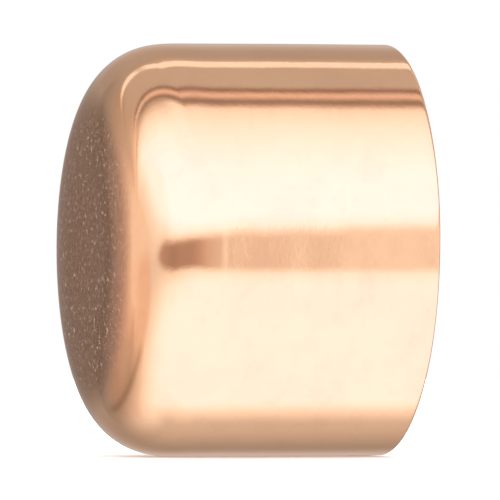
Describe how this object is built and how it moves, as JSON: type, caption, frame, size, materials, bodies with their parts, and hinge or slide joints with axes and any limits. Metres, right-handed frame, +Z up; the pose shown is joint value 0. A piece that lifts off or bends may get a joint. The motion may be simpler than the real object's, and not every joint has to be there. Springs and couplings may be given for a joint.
{
  "type": "pipe cap",
  "caption": "End-feed copper pipe cap: a plain round cup with a shallow crowned closed end, a large round shoulder and a smooth socket that slips over a tube for soldering.",
  "frame": {"origin": "centre of the socket's mouth, in the plane of the rim", "axes": "+X along the cup's axis, out of the mouth; +Z up as the cap lies on its side; the closed end is at -X"},
  "size_m": [0.0224, 0.03, 0.03],
  "materials": {
    "copper": "bright drawn copper on the skirt and shoulder, dull brown and finely scratched on the closed end"
  },
  "bodies": {
    "root": {"cap_shell": "copper"}
  },
  "joints": []
}
